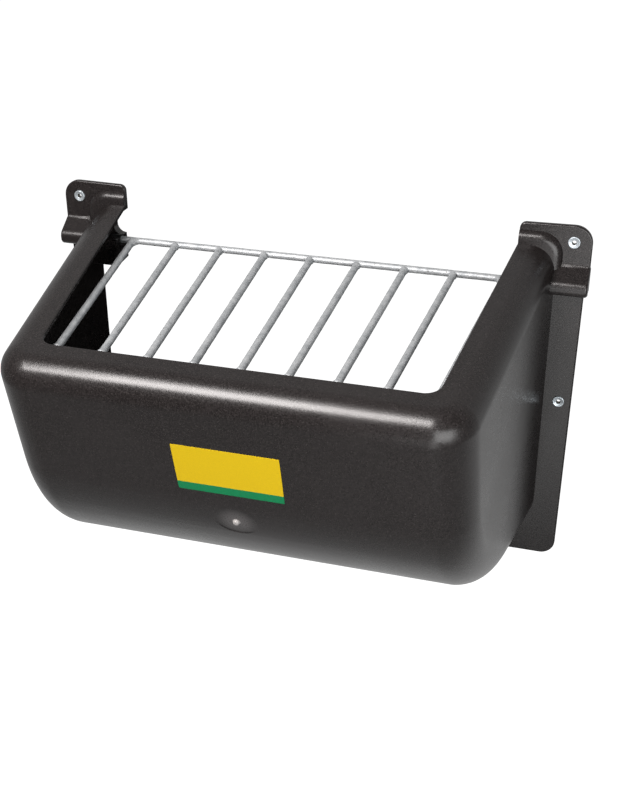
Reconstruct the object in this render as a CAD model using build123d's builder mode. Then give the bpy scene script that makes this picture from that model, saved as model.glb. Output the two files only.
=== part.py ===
from build123d import *
import os
from math import cos, radians, sin, tan

# Wall-mounted hay rack: a moulded trough with an open back, closed by the building's wall, and a swinging bar
# grille. +X runs to the right along the wall, +Y into the wall and +Z up. The origin is the centre of the four
# wall screws, on the wall plane. Heights below are taken from the foot of the side flanges.

# Wall screws
SCREW_HALF_SPAN = 418.0
UPPER_SCREW_HEIGHT = 572.5
LOWER_SCREW_HEIGHT = 298.5
SCREW_CLEARANCE_R = 3.5
ORIGIN_HEIGHT = (UPPER_SCREW_HEIGHT + LOWER_SCREW_HEIGHT) / 2

# Trough
WALL = 6.0
DEPTH = 474.0
REAR_HALF_WIDTH = 394.0
SIDE_TAPER = 0.106
RIM_REAR_HEIGHT = 567.5
RIM_SLOPE = 0.195
FRONT_LEAN = 14.9
FLOOR_REAR_HEIGHT = 47.5
FLOOR_RISE = 6.1
BELLY_R = 293.0
SIDE_EDGE_R = 61.0
RIM_EDGE_R = 40.0

# Mouth between the rim's arms
MOUTH_REAR_HALF_WIDTH = 333.5
MOUTH_TAPER = 0.106
MOUTH_DEPTH = 408.0
MOUTH_CORNER_R = 24.0
MOUTH_EDGE_R = 2.0

# Side flanges and ears
PLATE = 7.0
FLANGE_HALF_WIDTH = 440.5
FLANGE_FOOT_HALF_WIDTH = 435.5
FLANGE_FOOT_INNER = 328.0
FLANGE_TOP_HEIGHT = 490.0
FLANGE_CORNER_R = 25.0
EAR_INNER = 333.0
EAR_OUTER = 446.0
EAR_TOP_HEIGHT = 599.5
EAR_BOTTOM_HEIGHT = 486.0
EAR_SLOPE = 2.0
EAR_OUTER_CORNER_R = 28.0
EAR_INNER_CORNER_R = 10.0
PLATE_EDGE_R = 2.5

# Collar where the rim's arm runs into the ear
COLLAR_OUTER = 404.0
COLLAR_TOP_HEIGHT = 587.0
COLLAR_PROUD = 16.0
COLLAR_CORNER_R = 38.0
COLLAR_EDGE_R = 15.0

# Nose that takes the pivot rod's end, and the bracket inside the side wall
NOSE_OUTER = 447.0
NOSE_STEP_HEIGHT = 534.0
NOSE_BROW_HEIGHT = 513.0
NOSE_BOTTOM_HEIGHT = 491.0
NOSE_SLOPE = 2.0
NOSE_PROUD = 37.0
NOSE_CHIN_R = 10.0
NOSE_BROW_R = 14.0
NOSE_STEP_RUN = 3.0
NOSE_STEP_RISE = 5.0
NOSE_END_R = 4.0
BRACKET_INNER = 338.5
BRACKET_TOP_HEIGHT = 513.0
BRACKET_BOTTOM_HEIGHT = 452.0
BRACKET_RISE = 14.5
BRACKET_PROUD = 44.0
BRACKET_CHAMFER = 17.5

# Notch between the bracket and the rim's arm, on their inner side
NOTCH_TOP_HEIGHT = 556.0
NOTCH_R = 15.0
NOTCH_REACH = 21.0

# Grille
ROD_R = 6.0
PIVOT_Y = -24.0
PIVOT_HEIGHT = 508.0
PIVOT_HALF_LENGTH = 436.0
BAR_COUNT = 9
BAR_PITCH = 79.0
BAR_FAN = 0.0225
GRILLE_REACH = 354.0
GRILLE_DROOP = 7.5
ROD_CHAMFER = 1.0
ROD_END_CLEARANCE = 1.0

# Bearing sleeves in the brackets
BUSH_R = 8.0
BUSH_BORE_CLEARANCE = 0.05
BUSH_FLANGE_R = 9.5
BUSH_FLANGE = 2.0
BUSH_END = 372.0

# Screw bushes
SCREW_BUSH_R = 6.5
SCREW_BUSH_FLANGE_R = 9.5
SCREW_BUSH_FLANGE = 2.2
SCREW_BUSH_CHAMFER = 0.6

# Ledges that the grille rests on
LEDGE_FRONT = 384.0
LEDGE_REAR = 352.0
LEDGE_INNER = 272.0
LEDGE_THICK = 9.0
REST_GAP = 0.3

# Recess of the moulding's gate, in the belly
GATE_Y = -405.2
GATE_HEIGHT = 233.7
GATE_LEAN = 24.9
GATE_R = 34.0
GATE_SLOPE = 60.0
GATE_DEPTH = 1.2
GATE_NUB_R = 5.0

# Label on the front wall
LABEL_WIDTH = 161.0
LABEL_LENGTH = 87.0
LABEL_THICK = 0.6
LABEL_HEIGHT = 334.5
LABEL_CENTRE_X = 2.0
LABEL_CORNER_R = 1.5

# How far cuts run on past what they cut, and the margin for choosing edges by their place
OVERRUN = 30.0
NEAR = 1.0
LEAN = tan(radians(FRONT_LEAN))
RISE = tan(radians(FLOOR_RISE))
REST_DROP = (ROD_R + REST_GAP) / cos(radians(GRILLE_DROOP))


def save(part, name):
    """Labels a finished piece and writes it."""
    part.label = name
    export_step(part, f"parts/{name}.step")


def up(height):
    """Z of a height above the flanges' foot."""
    return height - ORIGIN_HEIGHT


def rim_height(y):
    """Height of the rim's top face at y."""
    return RIM_REAR_HEIGHT + RIM_SLOPE * y


RIM_FRONT_HEIGHT = rim_height(-DEPTH)
EDGE_Y = (DEPTH - LEAN * (RIM_FRONT_HEIGHT - FLOOR_REAR_HEIGHT)) / (1 - LEAN * RISE)
EDGE_HEIGHT = FLOOR_REAR_HEIGHT + RISE * EDGE_Y


def front_y(height):
    """Y of the front wall's outer face at a height."""
    return -(DEPTH - LEAN * (RIM_FRONT_HEIGHT - height))


def front_plane(height):
    """Plane on the front wall's outer face at a height, facing out, with its X to the right and its Y up."""
    out = (0, -cos(radians(FRONT_LEAN)), -sin(radians(FRONT_LEAN)))
    return Plane(origin=(0, front_y(height), up(height)), x_dir=(1, 0, 0), z_dir=out)


def trough_block(inset, back):
    """The trough's outer form as a solid, moved inwards by inset and run on to y = back."""
    half_rear = REAR_HALF_WIDTH - inset
    half_front = half_rear - SIDE_TAPER * (DEPTH + OVERRUN)
    with BuildPart() as block:
        with BuildSketch(Plane.YZ):
            with BuildLine():
                Polyline(
                    (OVERRUN, up(FLOOR_REAR_HEIGHT - RISE * OVERRUN)),
                    (-EDGE_Y, up(EDGE_HEIGHT)),
                    (-DEPTH, up(RIM_FRONT_HEIGHT)),
                    (OVERRUN, up(rim_height(OVERRUN))),
                    close=True,
                )
            make_face()
            fillet(vertices().sort_by(Axis.Y)[1], BELLY_R)
            if inset > 0:
                offset(amount=-inset)
        extrude(amount=REAR_HALF_WIDTH + OVERRUN, both=True)
        with BuildSketch(Plane.XY.offset(up(0))):
            with BuildLine():
                Polyline(
                    (half_rear + SIDE_TAPER * back, back),
                    (half_front, -DEPTH - OVERRUN),
                    (-half_front, -DEPTH - OVERRUN),
                    (-half_rear - SIDE_TAPER * back, back),
                    close=True,
                )
            make_face()
        extrude(amount=EAR_TOP_HEIGHT, mode=Mode.INTERSECT)
        below_rim = block.edges().filter_by(lambda e: e.center().Z < up(RIM_FRONT_HEIGHT - RIM_EDGE_R))
        ahead = below_rim.filter_by(lambda e: e.center().Y < back - NEAR)
        chain = ahead.filter_by(lambda e: abs(e.center().X) > half_front - NEAR)
        fillet(chain, SIDE_EDGE_R - inset)
        top = block.faces().sort_by(Axis.Z)[-1]
        fillet(top.edges().filter_by(lambda e: e.center().Y < back - NEAR), RIM_EDGE_R - inset)
    return block.part


def grille_height(y):
    """Height of the grille's centre plane at y."""
    return PIVOT_HEIGHT - tan(radians(GRILLE_DROOP)) * (PIVOT_Y - y)


def wall_plate(outline, corners, thick, edge_r):
    """A plate standing thick off the wall, with rounded corners and a rounded front edge. corners maps a corner's
    place in outline to its radius."""
    with BuildPart() as plate:
        with BuildSketch(Plane.XZ):
            with BuildLine():
                Polyline(*[(x, up(height)) for x, height in outline], close=True)
            make_face()
            for place, radius in corners.items():
                x, height = outline[place]
                fillet(vertices().sort_by_distance((x, up(height), 0))[0], radius)
        extrude(amount=thick)
        fillet(plate.faces().sort_by(Axis.Y)[0].edges(), edge_r)
    return plate.part


GATE_PLANE = Plane(
    origin=(0, GATE_Y, up(GATE_HEIGHT)),
    x_dir=(1, 0, 0),
    z_dir=(0, -cos(radians(GATE_LEAN)), -sin(radians(GATE_LEAN))),
)


def gate_recess():
    """What is cut from the belly where the moulding's gate was: a shallow round recess that follows the wall and
    has a sloping edge."""
    with BuildPart() as recess:
        with BuildSketch(GATE_PLANE):
            Circle(GATE_R)
        extrude(amount=WALL, taper=-GATE_SLOPE)
        with BuildSketch(GATE_PLANE):
            Circle(GATE_R)
        extrude(amount=-WALL / 2, taper=GATE_SLOPE)
        add(trough_block(GATE_DEPTH, 0), mode=Mode.SUBTRACT)
    return recess.part


def gate_nub():
    """Domed nub in the middle of the gate's recess."""
    with BuildPart() as nub:
        with BuildSketch(GATE_PLANE.offset(-WALL / 2)):
            Circle(GATE_NUB_R)
        extrude(amount=WALL)
        fillet(nub.faces().sort_by(Axis.Y)[0].edges(), GATE_NUB_R / 2)
    return nub.part


def flange():
    """Flange beside the trough on the right, down to its foot."""
    inner = REAR_HALF_WIDTH - WALL / 2
    under = FLOOR_REAR_HEIGHT + WALL / 2
    outline = (
        (FLANGE_FOOT_INNER, 0),
        (FLANGE_FOOT_HALF_WIDTH, 0),
        (FLANGE_HALF_WIDTH, FLANGE_TOP_HEIGHT),
        (inner, FLANGE_TOP_HEIGHT),
        (inner, under),
        (FLANGE_FOOT_INNER, under),
    )
    corners = {0: FLANGE_CORNER_R / 2, 1: FLANGE_CORNER_R, 4: SIDE_EDGE_R - WALL / 2}
    return wall_plate(outline, corners, PLATE, PLATE_EDGE_R)


def ear():
    """Ear above the flange on the right."""
    outline = (
        (BRACKET_INNER, EAR_BOTTOM_HEIGHT),
        (EAR_OUTER, EAR_BOTTOM_HEIGHT),
        (EAR_OUTER, EAR_TOP_HEIGHT),
        (EAR_INNER, EAR_TOP_HEIGHT - EAR_SLOPE),
        (EAR_INNER, NOTCH_TOP_HEIGHT),
        (BRACKET_INNER, NOTCH_TOP_HEIGHT),
    )
    return wall_plate(outline, {2: EAR_OUTER_CORNER_R, 3: EAR_INNER_CORNER_R}, PLATE, PLATE_EDGE_R)


def collar():
    """Thicker part of the ear, which the rim's arm runs into. Its top and outer edges are rounded."""
    with BuildPart() as block:
        with BuildSketch(Plane.XZ):
            with BuildLine():
                Polyline(
                    (EAR_INNER, up(NOSE_BROW_HEIGHT)),
                    (COLLAR_OUTER, up(NOSE_BROW_HEIGHT)),
                    (COLLAR_OUTER, up(COLLAR_TOP_HEIGHT)),
                    (EAR_INNER, up(COLLAR_TOP_HEIGHT)),
                    close=True,
                )
            make_face()
            fillet(vertices().sort_by_distance((COLLAR_OUTER, up(COLLAR_TOP_HEIGHT), 0))[0], COLLAR_CORNER_R)
        extrude(amount=COLLAR_PROUD)
        front_edges = block.faces().sort_by(Axis.Y)[0].edges()
        above_brow = front_edges.filter_by(lambda e: e.center().Z > up(NOSE_BROW_HEIGHT) + NEAR)
        fillet(above_brow.filter_by(lambda e: e.center().X > EAR_INNER + NEAR), COLLAR_EDGE_R)
    return block.part


def nose():
    """Hollow nose on the flange, which takes the pivot rod's end."""
    with BuildPart() as block:
        with BuildSketch(Plane.YZ.offset(REAR_HALF_WIDTH - WALL)):
            with BuildLine():
                Polyline(
                    (0, up(NOSE_BOTTOM_HEIGHT)),
                    (-NOSE_PROUD, up(NOSE_BOTTOM_HEIGHT + NOSE_SLOPE)),
                    (-NOSE_PROUD, up(NOSE_BROW_HEIGHT)),
                    (-PLATE, up(NOSE_STEP_HEIGHT)),
                    (0, up(NOSE_STEP_HEIGHT)),
                    close=True,
                )
            make_face()
            chin = (-NOSE_PROUD, up(NOSE_BOTTOM_HEIGHT + NOSE_SLOPE), 0)
            fillet(vertices().sort_by_distance(chin)[0], NOSE_CHIN_R)
            fillet(vertices().sort_by_distance((-NOSE_PROUD, up(NOSE_BROW_HEIGHT), 0))[0], NOSE_BROW_R)
        extrude(amount=NOSE_OUTER - REAR_HALF_WIDTH + WALL)
        end_edges = block.faces().sort_by(Axis.X)[-1].edges()
        fillet(end_edges.filter_by(lambda e: e.center().Y < -NEAR), NOSE_END_R)
        # Steeper strip that eases the slope into the ear's face
        with BuildSketch(Plane.YZ.offset(REAR_HALF_WIDTH - WALL)):
            with BuildLine():
                slope = (NOSE_STEP_HEIGHT - NOSE_BROW_HEIGHT) / (NOSE_PROUD - PLATE)
                strip_foot = up(NOSE_STEP_HEIGHT - slope * NOSE_STEP_RUN)
                Polyline(
                    (-PLATE - NOSE_STEP_RUN, strip_foot),
                    (-PLATE, up(NOSE_STEP_HEIGHT + NOSE_STEP_RISE)),
                    (-PLATE / 2, up(NOSE_STEP_HEIGHT + NOSE_STEP_RISE)),
                    (-PLATE / 2, strip_foot),
                    close=True,
                )
            make_face()
        extrude(amount=NOSE_OUTER - NOSE_END_R - NEAR - REAR_HALF_WIDTH + WALL)
    return block.part


def bracket():
    """Block inside the side wall, which carries the grille's pivot. Its underside rises towards the front."""
    with BuildPart() as block:
        with BuildSketch(Plane.YZ.offset(BRACKET_INNER)):
            with BuildLine():
                Polyline(
                    (0, up(BRACKET_BOTTOM_HEIGHT)),
                    (-BRACKET_PROUD, up(BRACKET_BOTTOM_HEIGHT + BRACKET_RISE)),
                    (-BRACKET_PROUD, up(BRACKET_TOP_HEIGHT)),
                    (0, up(BRACKET_TOP_HEIGHT)),
                    close=True,
                )
            make_face()
            fillet(vertices().sort_by(Axis.Y)[0:2], PLATE_EDGE_R)
        extrude(amount=REAR_HALF_WIDTH - WALL - BRACKET_INNER)
        with BuildSketch(Plane.XZ):
            with BuildLine():
                Polyline(
                    (REAR_HALF_WIDTH, up(BRACKET_BOTTOM_HEIGHT)),
                    (BRACKET_INNER + BRACKET_CHAMFER, up(BRACKET_BOTTOM_HEIGHT)),
                    (BRACKET_INNER, up(BRACKET_BOTTOM_HEIGHT + BRACKET_CHAMFER)),
                    (BRACKET_INNER, up(BRACKET_TOP_HEIGHT)),
                    (REAR_HALF_WIDTH, up(BRACKET_TOP_HEIGHT)),
                    close=True,
                )
            make_face()
        extrude(amount=BRACKET_PROUD, mode=Mode.INTERSECT)
    return block.part


def ledge():
    """Ledge that the grille's corner rests on."""
    with BuildPart() as shelf:
        with BuildSketch(Plane.YZ.offset(LEDGE_INNER)):
            with BuildLine():
                rear = up(grille_height(-LEDGE_REAR) - REST_DROP)
                front = up(grille_height(-LEDGE_FRONT) - REST_DROP)
                Polyline(
                    (-LEDGE_REAR, rear),
                    (-LEDGE_FRONT, front),
                    (-LEDGE_FRONT, front - LEDGE_THICK),
                    (-LEDGE_REAR, rear - LEDGE_THICK),
                    close=True,
                )
            make_face()
        extrude(amount=REAR_HALF_WIDTH - SIDE_TAPER * LEDGE_FRONT - WALL / 2 - LEDGE_INNER)
    return shelf.part


os.makedirs("parts", exist_ok=True)

outer_block = trough_block(0, 0)
inner_block = trough_block(WALL, OVERRUN / 2)
right_side = (flange(), ear(), collar(), nose(), bracket(), ledge())
mouth_front = MOUTH_REAR_HALF_WIDTH - MOUTH_TAPER * MOUTH_DEPTH

with BuildPart() as trough_shell:
    add(outer_block)
    add(inner_block, mode=Mode.SUBTRACT)
    # Mouth through the rim
    with BuildSketch(Plane.XY.offset(up(BRACKET_BOTTOM_HEIGHT))):
        with BuildLine():
            Polyline(
                (MOUTH_REAR_HALF_WIDTH + MOUTH_TAPER * OVERRUN, OVERRUN),
                (mouth_front, -MOUTH_DEPTH),
                (-mouth_front, -MOUTH_DEPTH),
                (-MOUTH_REAR_HALF_WIDTH - MOUTH_TAPER * OVERRUN, OVERRUN),
                close=True,
            )
        make_face()
        fillet(vertices().sort_by(Axis.Y)[0:2], MOUTH_CORNER_R)
    extrude(amount=EAR_TOP_HEIGHT - BRACKET_BOTTOM_HEIGHT, mode=Mode.SUBTRACT)
    rim_face = trough_shell.faces().filter_by(lambda f: f.normal_at().Z > 0.9).sort_by(Axis.Z)[-1]
    mouth_edges = rim_face.edges().filter_by(lambda e: abs(e.center().X) < MOUTH_REAR_HALF_WIDTH)
    fillet(mouth_edges.filter_by(lambda e: -MOUTH_DEPTH - NEAR < e.center().Y < -NEAR), MOUTH_EDGE_R)
    for feature in right_side:
        add(feature)
        add(feature.mirror(Plane.YZ))
    # Notch between bracket and arm
    with BuildSketch(Plane.XZ):
        for hand in (1, -1):
            with Locations((hand * EAR_INNER, up((NOTCH_TOP_HEIGHT + BRACKET_TOP_HEIGHT) / 2))):
                RectangleRounded(2 * NOTCH_REACH, NOTCH_TOP_HEIGHT - BRACKET_TOP_HEIGHT, NOTCH_R)
    extrude(amount=COLLAR_PROUD, mode=Mode.SUBTRACT)
    # Bores for the pivot rod's sleeves and ends, and slots that let the ends in from the wall
    for hand in (1, -1):
        for inner_x, outer_x, bore_r in (
            (BRACKET_INNER - WALL, BUSH_END, BUSH_R),
            (BUSH_END - NEAR, NOSE_OUTER - WALL, ROD_R + ROD_END_CLEARANCE),
        ):
            with BuildSketch(Plane.YZ.offset(hand * inner_x)):
                with Locations((PIVOT_Y, up(PIVOT_HEIGHT))):
                    Circle(bore_r)
            extrude(amount=hand * (outer_x - inner_x), mode=Mode.SUBTRACT)
        with BuildSketch(Plane.YZ.offset(hand * (REAR_HALF_WIDTH - WALL))):
            with Locations((PIVOT_Y / 2 + WALL / 2, up(PIVOT_HEIGHT))):
                Rectangle(-PIVOT_Y + WALL, 2 * (ROD_R + ROD_END_CLEARANCE))
        extrude(amount=hand * (NOSE_OUTER - REAR_HALF_WIDTH), mode=Mode.SUBTRACT)
    add(gate_recess(), mode=Mode.SUBTRACT)
    add(gate_nub())
    # Holes for the screw bushes
    with BuildSketch(Plane.XZ):
        for height in (UPPER_SCREW_HEIGHT, LOWER_SCREW_HEIGHT):
            with Locations((-SCREW_HALF_SPAN, up(height)), (SCREW_HALF_SPAN, up(height))):
                Circle(SCREW_BUSH_R)
    extrude(amount=PLATE, mode=Mode.SUBTRACT)
save(trough_shell.part, "trough_shell")

# Label, a thin sheet on the front wall
with BuildPart() as label_plate:
    with BuildSketch(front_plane(LABEL_HEIGHT)):
        with Locations((LABEL_CENTRE_X, 0)):
            RectangleRounded(LABEL_WIDTH, LABEL_LENGTH, LABEL_CORNER_R)
    extrude(amount=LABEL_THICK)
save(label_plate.part, "label_plate")

# Flanged bushes that line the wall screws' holes
for height, level in ((UPPER_SCREW_HEIGHT, "top"), (LOWER_SCREW_HEIGHT, "middle")):
    for hand, side_name in ((-1, "left"), (1, "right")):
        with BuildPart() as mounting_bush:
            with BuildSketch(Plane.XZ):
                with Locations((hand * SCREW_HALF_SPAN, up(height))):
                    Circle(SCREW_BUSH_R)
            extrude(amount=PLATE)
            with BuildSketch(Plane.XZ.offset(PLATE)):
                with Locations((hand * SCREW_HALF_SPAN, up(height))):
                    Circle(SCREW_BUSH_FLANGE_R)
            extrude(amount=SCREW_BUSH_FLANGE)
            rim = mounting_bush.faces().sort_by(Axis.Y)[0].edges()
            chamfer(rim, SCREW_BUSH_CHAMFER)
            with BuildSketch(Plane.XZ):
                with Locations((hand * SCREW_HALF_SPAN, up(height))):
                    Circle(SCREW_CLEARANCE_R)
            extrude(amount=PLATE + SCREW_BUSH_FLANGE, mode=Mode.SUBTRACT)
        save(mounting_bush.part, f"mounting_bush_{level}_{side_name}")

# Bearing sleeves for the pivot rod
for hand, side_name in ((-1, "left"), (1, "right")):
    with BuildPart() as pivot_bush:
        with BuildSketch(Plane.YZ.offset(hand * BRACKET_INNER)):
            with Locations((PIVOT_Y, up(PIVOT_HEIGHT))):
                Circle(BUSH_R)
        extrude(amount=hand * (BUSH_END - BRACKET_INNER))
        with BuildSketch(Plane.YZ.offset(hand * BRACKET_INNER)):
            with Locations((PIVOT_Y, up(PIVOT_HEIGHT))):
                Circle(BUSH_FLANGE_R)
        extrude(amount=-hand * BUSH_FLANGE)
        with BuildSketch(Plane.YZ.offset(hand * (BRACKET_INNER - BUSH_FLANGE))):
            with Locations((PIVOT_Y, up(PIVOT_HEIGHT))):
                Circle(ROD_R + BUSH_BORE_CLEARANCE)
        extrude(amount=hand * (BUSH_END - BRACKET_INNER + BUSH_FLANGE), mode=Mode.SUBTRACT)
    save(pivot_bush.part, f"pivot_bush_{side_name}")

# Grille: rods across, and bars that fan in towards the front, butted against the rods
with BuildPart() as pivot_rod:
    with BuildSketch(Plane.YZ):
        with Locations((PIVOT_Y, up(PIVOT_HEIGHT))):
            Circle(ROD_R)
    extrude(amount=PIVOT_HALF_LENGTH, both=True)
    chamfer(pivot_rod.faces().filter_by(Axis.X).edges(), ROD_CHAMFER)
save(pivot_rod.part, "pivot_rod")


def bar_x(step, reach):
    """X of a bar's centre line, step bars from the middle one, at a reach from the pivot."""
    return step * (BAR_PITCH - BAR_FAN * reach)


front_rod_y = PIVOT_Y - GRILLE_REACH * cos(radians(GRILLE_DROOP))
front_rod_height = grille_height(front_rod_y)
grille_plane = Plane(
    origin=(0, PIVOT_Y, up(PIVOT_HEIGHT)),
    x_dir=(1, 0, 0),
    z_dir=(0, -sin(radians(GRILLE_DROOP)), cos(radians(GRILLE_DROOP))),
)
with BuildPart() as front_rod:
    with BuildSketch(Plane.YZ):
        with Locations((front_rod_y, up(front_rod_height))):
            Circle(ROD_R)
    extrude(amount=bar_x(BAR_COUNT // 2, GRILLE_REACH) + ROD_R, both=True)
    chamfer(front_rod.faces().filter_by(Axis.X).edges(), ROD_CHAMFER)
save(front_rod.part, "front_rod")

for number in range(1, BAR_COUNT + 1):
    step = number - (BAR_COUNT + 1) // 2
    start = grille_plane.from_local_coords(Vector(bar_x(step, ROD_R), -ROD_R, 0))
    end = grille_plane.from_local_coords(Vector(bar_x(step, GRILLE_REACH - ROD_R), ROD_R - GRILLE_REACH, 0))
    with BuildPart() as grille_bar:
        # The ends are flat and parallel to the rods, which they touch
        with BuildSketch(Plane(origin=start, x_dir=(1, 0, 0), z_dir=-grille_plane.y_dir)):
            Circle(ROD_R)
        extrude(amount=(end - start).length, dir=end - start)
    save(grille_bar.part, f"grille_bar_{number}")
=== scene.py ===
import math

import bmesh
import bpy
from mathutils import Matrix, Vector, noise


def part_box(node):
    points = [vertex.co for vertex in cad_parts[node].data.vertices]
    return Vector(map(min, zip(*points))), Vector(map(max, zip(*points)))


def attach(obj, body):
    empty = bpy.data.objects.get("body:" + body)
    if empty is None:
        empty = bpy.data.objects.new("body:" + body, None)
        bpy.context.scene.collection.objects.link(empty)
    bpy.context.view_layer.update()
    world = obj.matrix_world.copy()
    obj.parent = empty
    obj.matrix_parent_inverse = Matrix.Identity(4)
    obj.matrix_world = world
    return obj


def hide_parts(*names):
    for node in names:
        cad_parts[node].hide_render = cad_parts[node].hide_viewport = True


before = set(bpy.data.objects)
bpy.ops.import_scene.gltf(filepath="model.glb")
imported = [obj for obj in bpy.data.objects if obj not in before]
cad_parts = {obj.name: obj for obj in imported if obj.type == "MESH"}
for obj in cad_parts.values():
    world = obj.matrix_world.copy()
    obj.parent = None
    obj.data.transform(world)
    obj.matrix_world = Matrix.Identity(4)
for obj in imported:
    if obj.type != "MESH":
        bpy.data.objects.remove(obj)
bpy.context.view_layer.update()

# Wall-mounted hay rack: a dark moulded trough with a galvanised grille that swings up on the pivot rod.
# Lengths are in metres, in the CAD's frame: +X right, +Y into the wall, +Z up.

# Screw bushes, and the thickness of the flanges that they sit in
SCREW_CLEARANCE_R = 0.0035
SCREW_BUSH_R = 0.0065
PLATE = 0.007

# The moulding's gate, in the belly: its middle, the reach of the painted sheen about it, and the reach of the
# painted highlight on its nub
GATE = (0.0, -0.4052, -0.2018)
GATE_SHEEN_R = 0.036
GATE_SHEEN_CORE_R = 0.006
GATE_NUB_GLINT_R = 0.0075
GATE_NUB_GLINT_CORE_R = 0.0050

# Share of the label's height that is green, and how softly the two colours meet
LABEL_BAND = 0.17
LABEL_BLEED = 0.0002

FLOOR_Z = -1.6
FLOOR_HALF = 25.0
FLAG_Y = 0.45

scene = bpy.context.scene


def add_camera():
    """The camera, to the right of the middle and looking down on the rack."""
    data = bpy.data.cameras.new("camera")
    data.lens = 54.0
    data.sensor_width = 36.0
    data.clip_end = 60.0
    camera = bpy.data.objects.new("camera", data)
    camera.location = (0.53997, -1.79640, 0.76192)
    camera.rotation_euler = (math.radians(62.88), 0.0, math.radians(16.48))
    scene.collection.objects.link(camera)
    scene.camera = camera


add_camera()


# ---------------------------------------------------------------- node helpers
def new_material(name):
    """A material with its tree and its Principled shader."""
    material = bpy.data.materials.new(name)
    material.use_nodes = True
    tree = material.node_tree
    return material, tree, tree.nodes["Principled BSDF"]


def place(tree, scale=(1.0, 1.0, 1.0)):
    """Object coordinates, multiplied by scale."""
    coords = tree.nodes.new("ShaderNodeTexCoord")
    mapping = tree.nodes.new("ShaderNodeMapping")
    mapping.inputs["Scale"].default_value = scale
    tree.links.new(coords.outputs["Object"], mapping.inputs["Vector"])
    return mapping.outputs["Vector"]


def grain(tree, vector, scale, detail=2.0, roughness=0.5):
    """Noise between 0 and 1, in clumps of about 1 / scale."""
    node = tree.nodes.new("ShaderNodeTexNoise")
    node.inputs["Scale"].default_value = scale
    node.inputs["Detail"].default_value = detail
    node.inputs["Roughness"].default_value = roughness
    tree.links.new(vector, node.inputs["Vector"])
    return node.outputs["Fac"]


def ramp(tree, value, *stops):
    """A ramp through (place, colour) stops, where a colour is one grey or three numbers."""
    node = tree.nodes.new("ShaderNodeValToRGB")
    elements = node.color_ramp.elements
    while len(elements) < len(stops):
        elements.new(0.5)
    for element, (at, colour) in zip(elements, stops):
        element.position = at
        rgb = (colour,) * 3 if isinstance(colour, (int, float)) else colour
        element.color = (*rgb, 1.0)
    tree.links.new(value, node.inputs["Fac"])
    return node.outputs["Color"]


def mix(tree, factor, a, b, blend="MIX"):
    """A mix of two sockets or plain colours, by a socket or a number."""
    node = tree.nodes.new("ShaderNodeMix")
    node.data_type = "RGBA"
    node.blend_type = blend
    for socket, value in ((node.inputs[0], factor), (node.inputs[6], a), (node.inputs[7], b)):
        if isinstance(value, (int, float)):
            socket.default_value = value
        elif isinstance(value, tuple):
            socket.default_value = (*value, 1.0)
        else:
            tree.links.new(value, socket)
    return node.outputs[2]


def bump(tree, height, distance, strength, base=None):
    """A normal that height lifts, on top of the normal base where there is one."""
    node = tree.nodes.new("ShaderNodeBump")
    node.inputs["Distance"].default_value = distance
    node.inputs["Strength"].default_value = strength
    tree.links.new(height, node.inputs["Height"])
    if base is not None:
        tree.links.new(base, node.inputs["Normal"])
    return node.outputs["Normal"]


def axis_value(tree, vector, axis):
    """One of a vector's three values, by its letter."""
    node = tree.nodes.new("ShaderNodeSeparateXYZ")
    tree.links.new(vector, node.inputs["Vector"])
    return node.outputs[axis]


def between(tree, value, low, high):
    """0 at low, 1 at high, and a smooth change between them. low may be the larger."""
    node = tree.nodes.new("ShaderNodeMapRange")
    node.interpolation_type = "SMOOTHSTEP"
    node.inputs["From Min"].default_value = low
    node.inputs["From Max"].default_value = high
    tree.links.new(value, node.inputs["Value"])
    return node.outputs["Result"]


# ---------------------------------------------------------------- materials
def moulded_plastic():
    """Brown-black polyethylene, with a moulded grain, specks and scratches, a painted sheen about the gate
    and a painted highlight on its nub.
    """
    material, tree, shader = new_material("moulded_plastic")
    vector = place(tree)
    cloud = grain(tree, vector, 6.0, 4.0, 0.6)
    peel = grain(tree, vector, 380.0, 3.0, 0.6)
    fleck = grain(tree, vector, 760.0, 1.0)
    tone = ramp(tree, cloud, (0.32, (0.0085, 0.0067, 0.0066)), (0.68, (0.0130, 0.0105, 0.0102)))
    tone = mix(tree, ramp(tree, peel, (0.42, 0.0), (0.62, 1.0)), tone, (0.0200, 0.0165, 0.0161))
    tone = mix(tree, ramp(tree, fleck, (0.63, 0.0), (0.72, 0.7)), tone, (0.070, 0.061, 0.060))
    # Fine scratches, some long across the rack and some long up and down it
    for stretch in ((14.0, 520.0, 260.0), (420.0, 300.0, 9.0)):
        marks = grain(tree, place(tree, stretch), 1.0, 3.0, 0.7)
        tone = mix(tree, ramp(tree, marks, (0.67, 0.0), (0.75, 0.35)), tone, (0.060, 0.052, 0.050))
    # Painted sheen about the gate, lighter toward its middle and broken up by the cloud noise, and a painted
    # highlight on the gate's nub
    away = tree.nodes.new("ShaderNodeVectorMath")
    away.operation = "DISTANCE"
    away.inputs[1].default_value = GATE
    tree.links.new(place(tree), away.inputs[0])
    gate_sheen = between(tree, away.outputs["Value"], GATE_SHEEN_R, GATE_SHEEN_CORE_R)
    tone = mix(tree, mix(tree, 0.35, gate_sheen, cloud, "MULTIPLY"), tone, (0.105, 0.098, 0.098))
    # The nub's pale colour is a painted highlight
    nub_glint = between(tree, away.outputs["Value"], GATE_NUB_GLINT_R, GATE_NUB_GLINT_CORE_R)
    tone = mix(tree, nub_glint, tone, (0.42, 0.40, 0.39))
    tree.links.new(tone, shader.inputs["Base Color"])
    gloss = mix(tree, ramp(tree, cloud, (0.35, 0.0), (0.65, 1.0)), (0.24, 0.24, 0.24), (0.31, 0.31, 0.31))
    gloss = mix(tree, 0.35, gloss, ramp(tree, peel, (0.3, 0.20), (0.7, 0.42)))
    tree.links.new(gloss, shader.inputs["Roughness"])
    fine = bump(tree, peel, 0.0004, 0.20)
    wave = grain(tree, vector, 24.0, 2.0)
    tree.links.new(bump(tree, wave, 0.003, 0.06, fine), shader.inputs["Normal"])
    shader.inputs["Specular IOR Level"].default_value = 0.65
    return material


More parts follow.
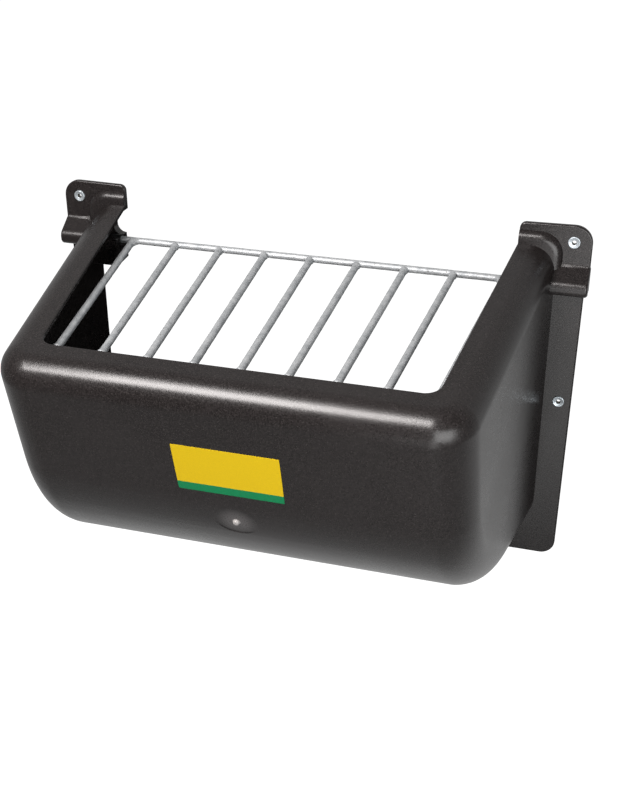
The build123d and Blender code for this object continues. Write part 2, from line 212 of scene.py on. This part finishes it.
def galvanised_steel():
    """Hot-dip zinc: dull and bright grey patches with small dark pits."""
    material, tree, shader = new_material("galvanised_steel")
    vector = place(tree)
    patch = grain(tree, vector, 70.0, 4.0, 0.65)
    pit = grain(tree, vector, 260.0, 2.0, 0.6)
    dull, middling, bright = (0.39, 0.415, 0.43), (0.54, 0.565, 0.58), (0.68, 0.70, 0.71)
    zinc = ramp(tree, patch, (0.30, dull), (0.52, middling), (0.72, bright))
    pitted = mix(tree, ramp(tree, pit, (0.26, 0.9), (0.36, 0.0)), zinc, (0.16, 0.15, 0.14))
    tree.links.new(pitted, shader.inputs["Base Color"])
    tree.links.new(ramp(tree, patch, (0.30, 0.56), (0.70, 0.40)), shader.inputs["Roughness"])
    tree.links.new(bump(tree, pit, 0.0008, 0.35), shader.inputs["Normal"])
    shader.inputs["Metallic"].default_value = 0.4
    return material


def zinc_plated_steel(name, dark):
    """Bright, slightly blue zinc plate, or, where dark is true, the same plate darkened as painted shade for
    the inside of a bore.
    """
    material, tree, shader = new_material(name)
    patch = grain(tree, place(tree), 420.0, 3.0, 0.6)
    if dark:
        # Painted shade: a darker plate for the inside of a hole
        low, high = (0.10, 0.095, 0.08), (0.22, 0.21, 0.18)
    else:
        low, high = (0.48, 0.54, 0.58), (0.74, 0.80, 0.84)
    tree.links.new(ramp(tree, patch, (0.3, low), (0.7, high)), shader.inputs["Base Color"])
    tree.links.new(ramp(tree, patch, (0.3, 0.48), (0.7, 0.30)), shader.inputs["Roughness"])
    tree.links.new(bump(tree, patch, 0.0003, 0.25), shader.inputs["Normal"])
    shader.inputs["Metallic"].default_value = 0.7
    return material


def sleeve_plastic():
    """Black acetal of the pivot's sleeves, in matter and glossier patches."""
    material, tree, shader = new_material("sleeve_plastic")
    rub = grain(tree, place(tree), 520.0, 3.0)
    tree.links.new(ramp(tree, rub, (0.3, 0.010), (0.7, 0.028)), shader.inputs["Base Color"])
    tree.links.new(ramp(tree, rub, (0.3, 0.34), (0.7, 0.50)), shader.inputs["Roughness"])
    return material


def label_film():
    """Printed film: a yellow panel over a green band, with a fine print grain and rubbed specks."""
    material, tree, shader = new_material("label_film")
    low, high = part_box("label_plate")
    vector = place(tree)
    band_top = low.z + LABEL_BAND * (high.z - low.z)
    above_band = between(tree, axis_value(tree, vector, "Z"), band_top - LABEL_BLEED, band_top + LABEL_BLEED)
    ink = grain(tree, vector, 900.0, 2.0)
    yellow = ramp(tree, ink, (0.3, (0.62, 0.425, 0.0006)), (0.7, (0.70, 0.48, 0.0010)))
    green = ramp(tree, ink, (0.3, (0.000, 0.17, 0.055)), (0.7, (0.001, 0.22, 0.078)))
    printed = mix(tree, above_band, green, yellow)
    rub = grain(tree, vector, 130.0, 5.0, 0.7)
    rubbed = mix(tree, ramp(tree, rub, (0.70, 0.0), (0.80, 0.5)), printed, (0.30, 0.26, 0.10))
    tree.links.new(rubbed, shader.inputs["Base Color"])
    tree.links.new(ramp(tree, rub, (0.3, 0.30), (0.7, 0.42)), shader.inputs["Roughness"])
    tree.links.new(bump(tree, rub, 0.0004, 0.12), shader.inputs["Normal"])
    return material


PLASTIC = moulded_plastic()
GALVANISED = galvanised_steel()
ZINC = zinc_plated_steel("zinc_plated_steel", dark=False)
BORE_SHADE_ZINC = zinc_plated_steel("zinc_plated_bore", dark=True)
SLEEVE = sleeve_plastic()
FILM = label_film()


# ---------------------------------------------------------------- mesh helpers
def centre_of(node):
    """The middle of a CAD node's box."""
    low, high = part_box(node)
    return (low + high) / 2


def add_piece(name, mesh, materials, body, stands_for):
    """Adds a mesh as a piece that rides on a body and, where stands_for names one, replaces a CAD node."""
    for material in materials:
        mesh.materials.append(material)
    piece = bpy.data.objects.new(name, mesh)
    scene.collection.objects.link(piece)
    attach(piece, body)
    if stands_for:
        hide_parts(stands_for)
    return piece


def finish_mesh(mesh_builder, name, sharp_angle):
    """The builder's mesh, smooth shaded, with its edges sharp where it turns by more than sharp_angle."""
    bmesh.ops.recalc_face_normals(mesh_builder, faces=mesh_builder.faces)
    mesh = bpy.data.meshes.new(name)
    mesh_builder.to_mesh(mesh)
    mesh_builder.free()
    mesh.shade_smooth()
    mesh.set_sharp_from_angle(angle=sharp_angle)
    return mesh


# Scales of the two noises that make a tube's skin uneven
COARSE_SCALE = 160.0
FINE_SCALE = 420.0


def tube(path, radii, segments=28, roughness=0.0):
    """A closed tube along path, a list of points, with a radius at each. The surface wanders by roughness."""
    builder = bmesh.new()
    rings = []
    for index, (point, radius) in enumerate(zip(path, radii)):
        ahead = path[min(index + 1, len(path) - 1)]
        behind = path[max(index - 1, 0)]
        along = (ahead - behind).normalized()
        side = along.cross(Vector((0.0, 0.0, 1.0))).normalized()
        over = side.cross(along)
        ring = []
        for step in range(segments):
            angle = 2 * math.pi * step / segments
            out = side * math.cos(angle) + over * math.sin(angle)
            spot = point + out * radius
            wander = noise.noise(spot * COARSE_SCALE) + 0.5 * noise.noise(spot * FINE_SCALE)
            ring.append(builder.verts.new(spot + out * roughness * wander))
        rings.append(ring)
    for first, second in zip(rings, rings[1:]):
        for step in range(segments):
            following = (step + 1) % segments
            builder.faces.new((first[step], first[following], second[following], second[step]))
    builder.faces.new(rings[0])
    builder.faces.new(rings[-1])
    return builder


def lathe(centre, profile, segments=48):
    """A ring turned about an axis along Y through centre, from a closed profile of (radius, y) points."""
    builder = bmesh.new()
    rings = []
    for step in range(segments):
        angle = 2 * math.pi * step / segments
        across = Vector((math.cos(angle), 0.0, math.sin(angle)))
        rings.append([builder.verts.new(centre + across * r + Vector((0.0, y, 0.0))) for r, y in profile])
    count = len(profile)
    for step in range(segments):
        first, second = rings[step], rings[(step + 1) % segments]
        for index in range(count):
            following = (index + 1) % count
            builder.faces.new((first[index], second[index], second[following], first[following]))
    return builder


# ---------------------------------------------------------------- trough
# Points closer than CLEAN_DISTANCE are one. Faces within FLAT_ANGLE of each other lie on one flat, and faces
# beyond SHARP_ANGLE of each other meet at a sharp edge.
CLEAN_DISTANCE = 1e-6
FLAT_ANGLE = math.radians(0.3)
SHARP_ANGLE = math.radians(36)


def flat_areas(mesh_builder):
    """For each face, the area of the flat patch that it is part of."""
    areas = {}
    for face in mesh_builder.faces:
        if face in areas:
            continue
        patch, waiting = {face}, [face]
        while waiting:
            beside = [other for edge in waiting.pop().edges for other in edge.link_faces]
            for other in beside:
                is_level = face.normal.angle(other.normal, math.pi) < FLAT_ANGLE
                if is_level and other not in patch and other not in areas:
                    patch.add(other)
                    waiting.append(other)
        area = sum(member.calc_area() for member in patch)
        areas.update((member, area) for member in patch)
    return areas


def fan_normal(corner, areas):
    """The normal at a face's corner, from the faces that it joins smoothly there.

    A large flat counts for more than a narrow strip of a round.
    """
    total = Vector()
    for other in corner.vert.link_loops:
        if corner.face.normal.angle(other.face.normal, 0.0) < SHARP_ANGLE:
            total += other.face.normal * (areas[other.face] * other.calc_angle())
    return total.normalized() if total.length > 0 else corner.face.normal.copy()


def moulded_trough():
    """The trough's shell, smooth over its rounds and true over its flats."""
    builder = bmesh.new()
    builder.from_mesh(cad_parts["trough_shell"].data)
    bmesh.ops.remove_doubles(builder, verts=builder.verts, dist=CLEAN_DISTANCE)
    bmesh.ops.dissolve_degenerate(builder, edges=builder.edges, dist=CLEAN_DISTANCE)
    bmesh.ops.recalc_face_normals(builder, faces=builder.faces)
    builder.normal_update()
    areas = flat_areas(builder)
    normals = [fan_normal(corner, areas) for face in builder.faces for corner in face.loops]
    mesh = bpy.data.meshes.new("trough_moulding")
    builder.to_mesh(mesh)
    builder.free()
    mesh.shade_smooth()
    mesh.normals_split_custom_set(normals)
    add_piece("trough_moulding", mesh, [PLASTIC], "trough", "trough_shell")


moulded_trough()

# Pieces that keep the CAD's shape
KEPT = {"label_plate": FILM, "pivot_bush_left": SLEEVE, "pivot_bush_right": SLEEVE}
for kept_node, kept_material in KEPT.items():
    for material_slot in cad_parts[kept_node].material_slots:
        material_slot.material = kept_material


# ---------------------------------------------------------------- bushes
BUSH_LIP = 0.0007
TURNED_SHARP_ANGLE = math.radians(50)


def mounting_bush(node):
    """A turned bush: a flange with a rolled lip and a dished face, on a barrel with a bore for the screw."""
    low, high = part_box(node)
    centre = Vector(((low.x + high.x) / 2, 0.0, (low.z + high.z) / 2))
    rim = (high.x - low.x) / 2
    front = low.y
    lip = BUSH_LIP
    bore = SCREW_CLEARANCE_R
    profile = [
        (bore, high.y),
        (bore, front + 2 * lip),
        (bore + 0.4 * lip, front + 1.1 * lip),
        (bore + 1.2 * lip, front + 0.7 * lip),
        (rim - 3.2 * lip, front + 0.55 * lip),
        (rim - 2.4 * lip, front + 0.1 * lip),
        (rim - 1.5 * lip, front),
        (rim - 0.6 * lip, front + 0.25 * lip),
        (rim, front + 1.2 * lip),
        (rim - 0.1 * lip, -PLATE),
        (SCREW_BUSH_R, -PLATE),
        (SCREW_BUSH_R, high.y),
    ]
    builder = lathe(centre, profile)
    # The bore's wall takes the darker plate: painted shade inside the hole
    for face in builder.faces:
        spot = face.calc_center_median() - centre
        radius = math.hypot(spot.x, spot.z)
        face.material_index = 1 if radius < bore * 1.02 else 0
    mesh = finish_mesh(builder, node + "_turned", TURNED_SHARP_ANGLE)
    add_piece(node + "_turned", mesh, [ZINC, BORE_SHADE_ZINC], "trough", node)


for bush_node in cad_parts:
    if bush_node.startswith("mounting_bush"):
        mounting_bush(bush_node)


# ---------------------------------------------------------------- grille
ROD_LOW, ROD_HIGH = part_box("pivot_rod")
ROD_R = (ROD_HIGH.z - ROD_LOW.z) / 2
PIVOT = centre_of("pivot_rod")
FRONT = centre_of("front_rod")
DROOP = math.atan2(PIVOT.z - FRONT.z, PIVOT.y - FRONT.y)
ZINC_WANDER = 0.00022
ROD_STEP = 0.006
BAR_STEP = 0.007
ROD_SHARP_ANGLE = math.radians(40)
WELD_SHARP_ANGLE = math.radians(50)

# A bar's end: places along the bar from where its axis meets the rod's side, and the radius there against the
# bar's own. It starts inside the rod, swells into the weld and narrows to the bar.
WELD = (
    (-0.0040, 0.72),
    (-0.0022, 1.02),
    (-0.0004, 1.20),
    (0.0014, 1.24),
    (0.0032, 1.14),
    (0.0055, 1.03),
    (0.0085, 1.0),
)
WELD_END = WELD[-1][0]
CORNER_REACH = 0.017
CORNER_STEPS = 12
CORNER_WANDER = 0.0003


def rod(node):
    """A rod across the grille, with chamfered ends and the uneven skin of dipped zinc."""
    low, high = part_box(node)
    centre = (low + high) / 2
    length = high.x - low.x
    steps = round(length / ROD_STEP)
    path = [Vector((low.x + length * step / steps, centre.y, centre.z)) for step in range(steps + 1)]
    radii = [ROD_R - ZINC_WANDER] * len(path)
    # The chamfer: a smaller end, and the next ring close behind it
    radii[0] = radii[-1] = ROD_R * 0.82
    path[1] = path[0].lerp(path[1], 0.2)
    path[-2] = path[-1].lerp(path[-2], 0.2)
    builder = tube(path, radii, roughness=ZINC_WANDER)
    mesh = finish_mesh(builder, node + "_dipped", ROD_SHARP_ANGLE)
    add_piece(node + "_dipped", mesh, [GALVANISED], "grille", node)


def bar(node):
    """A bar between the rods, with a weld's collar at each end. Gives back the middles of its two ends."""
    low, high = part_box(node)
    # How far the bar's skin stands above its axis and behind it, at the top of an end
    lift = ROD_R * math.cos(DROOP)
    tuck = ROD_R * math.sin(DROOP)
    fans_right = (low.x + high.x) < 0
    rear_x, front_x = (low.x + ROD_R, high.x - ROD_R) if fans_right else (high.x - ROD_R, low.x + ROD_R)
    rear = Vector((rear_x, high.y - tuck, high.z - lift))
    front = Vector((front_x, low.y + tuck, low.z + lift))
    length = (front - rear).length
    steps = round(length / BAR_STEP)
    plain = [(WELD_END + (length - 2 * WELD_END) * step / steps, 1.0) for step in range(1, steps)]
    stations = list(WELD) + plain + [(length - at, swell) for at, swell in reversed(WELD)]
    path = [rear.lerp(front, at / length) for at, _ in stations]
    radii = [(ROD_R - ZINC_WANDER) * swell for _, swell in stations]
    mesh = finish_mesh(tube(path, radii, roughness=ZINC_WANDER), node + "_dipped", WELD_SHARP_ANGLE)
    add_piece(node + "_dipped", mesh, [GALVANISED], "grille", node)
    return rear, front


def weld_corner(name, rear, front, towards):
    """The fillet of weld that rounds the inner corner between an outer bar and the pivot rod.

    It bends from the bar to the rod about the corner's knee. towards is 1 or -1, its way along the rod.
    """
    along = (front - rear).normalized()
    start = rear + along * CORNER_REACH
    end = Vector((rear.x + towards * CORNER_REACH, PIVOT.y, PIVOT.z))
    knee = Vector((rear.x + along.x * 0.002, PIVOT.y, PIVOT.z))
    path = []
    radii = []
    for step in range(CORNER_STEPS + 1):
        t = step / CORNER_STEPS
        path.append(start * (1 - t) ** 2 + knee * 2 * t * (1 - t) + end * t**2)
        radii.append(ROD_R * (0.80 + 0.17 * math.sin(math.pi * t)))
    builder = tube(path, radii, segments=20, roughness=CORNER_WANDER)
    mesh = finish_mesh(builder, name, WELD_SHARP_ANGLE)
    add_piece(name, mesh, [GALVANISED], "grille", None)


rod("pivot_rod")
rod("front_rod")
BAR_NODES = sorted(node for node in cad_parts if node.startswith("grille_bar"))
BAR_ENDS = [bar(bar_node) for bar_node in BAR_NODES]
weld_corner("weld_corner_left", *BAR_ENDS[0], 1)
weld_corner("weld_corner_right", *BAR_ENDS[-1], -1)


# ---------------------------------------------------------------- floor and light
def add_floor():
    """A plain pale floor, which neither lights the object nor shows in its reflections."""
    builder = bmesh.new()
    bmesh.ops.create_grid(builder, x_segments=8, y_segments=8, size=FLOOR_HALF)
    mesh = bpy.data.meshes.new("floor")
    builder.to_mesh(mesh)
    builder.free()
    material, tree, shader = new_material("pale_floor")
    shade = grain(tree, place(tree), 1.2, 2.0)
    tree.links.new(ramp(tree, shade, (0.3, 0.50), (0.7, 0.52)), shader.inputs["Base Color"])
    shader.inputs["Roughness"].default_value = 0.9
    shader.inputs["Specular IOR Level"].default_value = 0.0
    shader.inputs["Emission Color"].default_value = (1.0, 1.0, 1.0, 1.0)
    shader.inputs["Emission Strength"].default_value = 0.95
    mesh.materials.append(material)
    floor = bpy.data.objects.new("floor", mesh)
    floor.location = (0.0, 0.0, FLOOR_Z)
    floor.visible_glossy = False
    floor.visible_diffuse = False
    scene.collection.objects.link(floor)


def add_dark_flag():
    """A black flag behind the open back, which darkens the trough's inside. The camera doesn't see it."""
    builder = bmesh.new()
    corners = ((-0.75, -0.6), (0.30, -0.6), (0.30, 0.0), (-0.75, 0.0))
    builder.faces.new([builder.verts.new((x, FLAG_Y, z)) for x, z in corners])
    mesh = bpy.data.meshes.new("dark_flag")
    builder.to_mesh(mesh)
    builder.free()
    material, _, shader = new_material("flag_black")
    shader.inputs["Base Color"].default_value = (0.0, 0.0, 0.0, 1.0)
    shader.inputs["Specular IOR Level"].default_value = 0.0
    mesh.materials.append(material)
    flag = bpy.data.objects.new("dark_flag", mesh)
    flag.visible_camera = False
    flag.visible_shadow = False
    scene.collection.objects.link(flag)


def add_area(name, location, target, width, height, power, colour=(1.0, 1.0, 1.0)):
    """A softbox at location that faces target."""
    data = bpy.data.lights.new(name, "AREA")
    data.shape = "RECTANGLE"
    data.size = width
    data.size_y = height
    data.energy = power
    data.color = colour
    light = bpy.data.objects.new(name, data)
    light.location = location
    light.rotation_euler = (Vector(target) - Vector(location)).to_track_quat("-Z", "Y").to_euler()
    light.visible_camera = False
    scene.collection.objects.link(light)


def add_world():
    """A dim studio, lighter behind and below the object, and plain white where the camera sees it."""
    world = bpy.data.worlds.new("studio")
    world.use_nodes = True
    tree = world.node_tree
    background = tree.nodes["Background"]
    coords = tree.nodes.new("ShaderNodeTexCoord")
    depth = axis_value(tree, coords.outputs["Generated"], "Y")
    height = axis_value(tree, coords.outputs["Generated"], "Z")
    across = ramp(tree, between(tree, depth, -1.0, 1.0), (0.0, 0.20), (0.5, 0.36), (1.0, 1.0))
    stops = ((0.0, 1.0), (0.08, 0.75), (0.22, 0.50), (0.5, 0.45), (0.9, 0.38))
    upward = ramp(tree, between(tree, height, -1.0, 1.0), *stops)
    studio = mix(tree, 1.0, across, upward, "MULTIPLY")
    seen = tree.nodes.new("ShaderNodeLightPath").outputs["Is Camera Ray"]
    tree.links.new(mix(tree, seen, studio, (1.0, 1.0, 1.0)), background.inputs["Color"])
    background.inputs["Strength"].default_value = 1.0
    scene.world = world


add_floor()
add_world()
add_dark_flag()
add_area(
    "key_softbox",
    location=(-0.66, -1.79, 1.66),
    target=(0.0, -0.46, 0.03),
    width=1.45,
    height=0.92,
    power=80.0,
    colour=(1.0, 0.955, 0.94),
)
add_area(
    "side_fill",
    location=(1.25, -2.0, 0.0),
    target=(0.40, 0.0, -0.15),
    width=1.7,
    height=1.3,
    power=28.0,
)
add_area(
    "low_card",
    location=(0.38, -1.7, -0.85),
    target=(0.42, 0.0, -0.15),
    width=0.6,
    height=1.0,
    power=2.4,
)
scene.view_settings.view_transform = "Standard"
